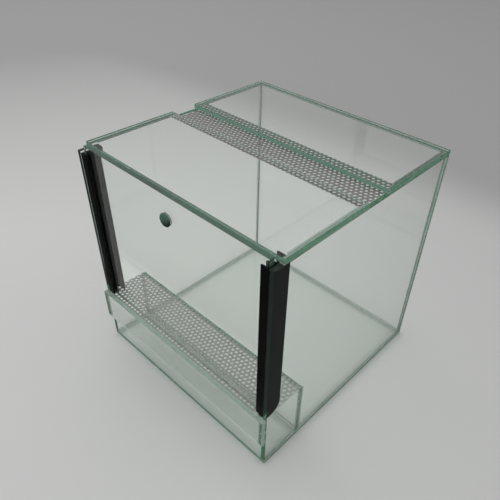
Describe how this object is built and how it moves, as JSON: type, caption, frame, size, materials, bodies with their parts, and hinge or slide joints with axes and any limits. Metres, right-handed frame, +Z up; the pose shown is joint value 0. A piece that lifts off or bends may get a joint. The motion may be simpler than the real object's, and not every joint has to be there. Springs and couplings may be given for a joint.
{
  "type": "reptile terrarium",
  "caption": "Small cubic glass terrarium with a lift-up front door in black rails and perforated aluminium vents at the lower front and in the top.",
  "frame": {"origin": "middle of the whole footprint, on the surface the terrarium stands on", "axes": "+X to the right and +Y to the back, seen from the door side; +Z up"},
  "size_m": [0.2, 0.2038, 0.201],
  "materials": {
    "float_glass": "clear float glass with a green tint in the ground edges",
    "door_glass": "clear float glass with ground edges and a drilled, ground port",
    "black_plastic": "extruded, semi-gloss black",
    "perforated_aluminium": "mill-finish sheet, punched",
    "clear_silicone": "clear neutral-cure silicone",
    "soft_plug": "moulded, translucent, dark green where it fills the port"
  },
  "bodies": {
    "tank": {"base_pane": "float_glass", "left_side_pane": "float_glass", "right_side_pane": "float_glass", "back_pane": "float_glass", "front_top_pane": "float_glass", "rear_top_pane": "float_glass", "front_lower_pane": "float_glass", "divider_pane": "float_glass", "left_door_rail": "black_plastic", "right_door_rail": "black_plastic", "lower_vent_strip": "perforated_aluminium", "top_vent_strip": "perforated_aluminium", "left_rail_bond": "clear_silicone", "right_rail_bond": "clear_silicone", "lower_strip_seal": "clear_silicone", "top_strip_seal": "clear_silicone", "left_base_seal": "clear_silicone", "right_base_seal": "clear_silicone", "back_base_seal": "clear_silicone", "divider_base_seal": "clear_silicone", "left_rear_seal": "clear_silicone", "right_rear_seal": "clear_silicone", "left_divider_seal": "clear_silicone", "right_divider_seal": "clear_silicone", "left_front_seal": "clear_silicone", "right_front_seal": "clear_silicone", "front_top_left_seal": "clear_silicone", "front_top_right_seal": "clear_silicone", "rear_top_left_seal": "clear_silicone", "rear_top_right_seal": "clear_silicone", "rear_top_back_seal": "clear_silicone"},
    "door": {"door_pane": "door_glass", "port_plug": "soft_plug"}
  },
  "joints": [
    {"name": "door_slide", "type": "slide", "parent": "tank", "child": "door", "axis": [0, 0, 1], "range_m": [0, 0.13]}
  ]
}
